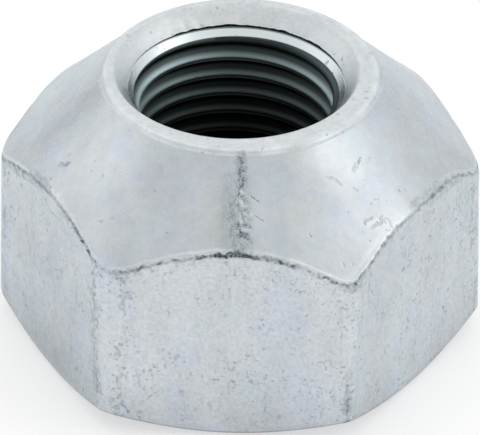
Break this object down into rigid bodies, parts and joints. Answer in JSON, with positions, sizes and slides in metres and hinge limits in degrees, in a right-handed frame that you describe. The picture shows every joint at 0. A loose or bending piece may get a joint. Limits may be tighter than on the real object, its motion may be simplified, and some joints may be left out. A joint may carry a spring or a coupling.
{
  "type": "lug nut",
  "caption": "Open-ended hexagon wheel nut with a tapered seat cone, a flat nose around its threaded bore and a chamfered base.",
  "frame": {"origin": "centre of the flat base ring, on the bore axis", "axes": "+Z along the bore from the base to the nose, X through two opposite edges of the hexagon, Y square to two flats"},
  "size_m": [0.0288, 0.0254, 0.0175],
  "materials": {
    "zinc_plate": "bright zinc plate over forged steel, satin, with pits and scuffs"
  },
  "bodies": {
    "root": {"lug_nut": "zinc_plate"}
  },
  "joints": []
}
